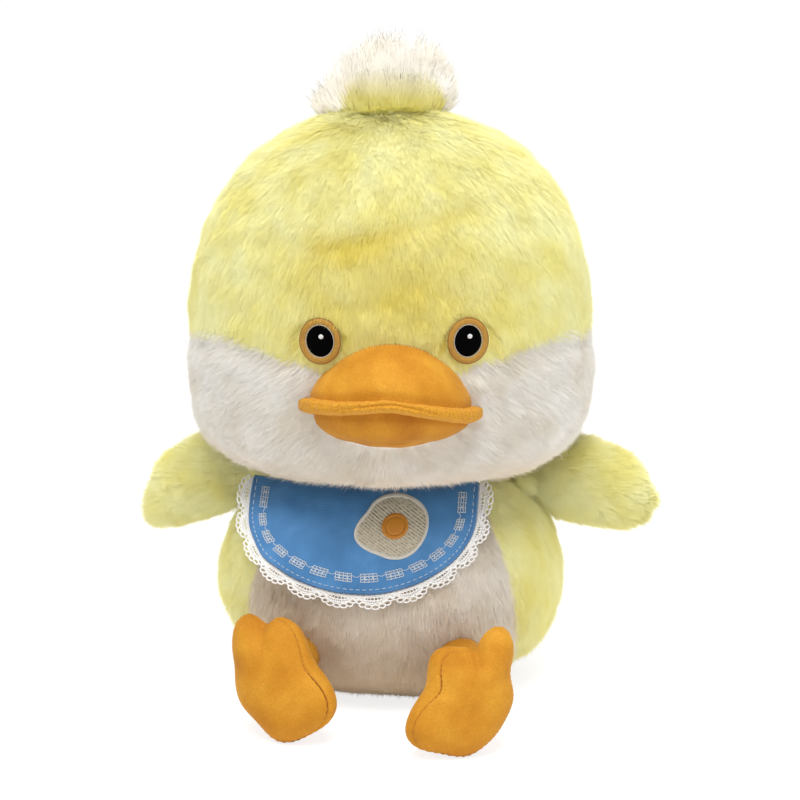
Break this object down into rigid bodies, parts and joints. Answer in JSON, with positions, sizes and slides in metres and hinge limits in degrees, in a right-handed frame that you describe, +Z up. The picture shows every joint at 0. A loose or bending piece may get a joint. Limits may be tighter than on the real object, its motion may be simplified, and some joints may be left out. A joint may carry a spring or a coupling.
{
  "type": "plush duck",
  "caption": "Seated plush duck with a large round head, stuffed bill, furry crest, wings, webbed feet and a cloth bib edged with lace.",
  "frame": {"origin": "on the table under the middle of the body, at the centre of the round base panel", "axes": "+Z up, the face looks along -Y, +X to the right of the picture"},
  "size_m": [0.2471, 0.2082, 0.297],
  "materials": {
    "yellow_plush": "long soft pile",
    "white_plush": "long soft pile",
    "orange_minky": "short smooth pile",
    "blue_cotton": "plain weave with a soft sheen",
    "white_lace": "open lace",
    "cream_thread": "satin stitch",
    "amber_thread": "satin stitch",
    "black_thread": "satin stitch",
    "white_thread": "satin stitch",
    "fibre_fill": "loose polyester fibre",
    "pellet_bag": "plain cotton"
  },
  "bodies": {
    "torso": {"body_back": "yellow_plush", "body_belly": "white_plush", "body_base": "yellow_plush", "body_filling": "fibre_fill", "pellet_bag": "pellet_bag", "tail": "yellow_plush"},
    "head": {"head_crown": "yellow_plush", "head_cheeks": "white_plush", "head_filling": "fibre_fill", "crest_front": "yellow_plush", "crest_back": "white_plush", "eye_ring_left": "amber_thread", "eye_pupil_left": "black_thread", "eye_glint_left": "white_thread", "eye_ring_right": "amber_thread", "eye_pupil_right": "black_thread", "eye_glint_right": "white_thread", "bill_upper": "orange_minky", "bill_filling": "fibre_fill", "bill_lip": "orange_minky", "bill_lower": "orange_minky"},
    "wing_left": {"wing_left_front": "yellow_plush", "wing_left_back": "yellow_plush", "wing_left_filling": "fibre_fill"},
    "wing_right": {"wing_right_front": "yellow_plush", "wing_right_back": "yellow_plush", "wing_right_filling": "fibre_fill"},
    "foot_left": {"leg_left": "orange_minky", "foot_left_upper": "orange_minky", "foot_left_sole": "orange_minky", "foot_left_filling": "fibre_fill"},
    "foot_right": {"leg_right": "orange_minky", "foot_right_upper": "orange_minky", "foot_right_sole": "orange_minky", "foot_right_filling": "fibre_fill"},
    "bib": {"bib_cloth": "blue_cotton", "bib_lace": "white_lace", "patch_white": "cream_thread", "patch_yolk": "amber_thread"}
  },
  "joints": [
    {"name": "head_turn", "type": "hinge", "parent": "torso", "child": "head", "pos_m": [0, 0, 0.1038], "axis": [0, 0, 1], "range_deg": [-20, 20], "stiffness_Nm_per_rad": 0.06},
    {"name": "wing_left_sweep", "type": "hinge", "parent": "torso", "child": "wing_left", "pos_m": [-0.06043, 0.00883, 0.091], "axis": [0, 0, 1], "range_deg": [-20, 20], "stiffness_Nm_per_rad": 0.01},
    {"name": "wing_right_sweep", "type": "hinge", "parent": "torso", "child": "wing_right", "pos_m": [0.06101, -0.00286, 0.0925], "axis": [0, 0, 1], "range_deg": [-20, 20], "stiffness_Nm_per_rad": 0.01},
    {"name": "foot_left_lift", "type": "hinge", "parent": "torso", "child": "foot_left", "pos_m": [-0.04268, -0.05717, 0.028], "axis": [-0.9954, 0.0958, 0], "range_deg": [0, 15]},
    {"name": "foot_right_lift", "type": "hinge", "parent": "torso", "child": "foot_right", "pos_m": [0.03098, -0.06427, 0.028], "axis": [-0.9954, 0.0958, 0], "range_deg": [0, 15]},
    {"name": "bib_lift", "type": "hinge", "parent": "torso", "child": "bib", "pos_m": [-0.01259, -0.04209, 0.1028], "axis": [-0.9954, 0.0958, 0], "range_deg": [0, 20]}
  ]
}
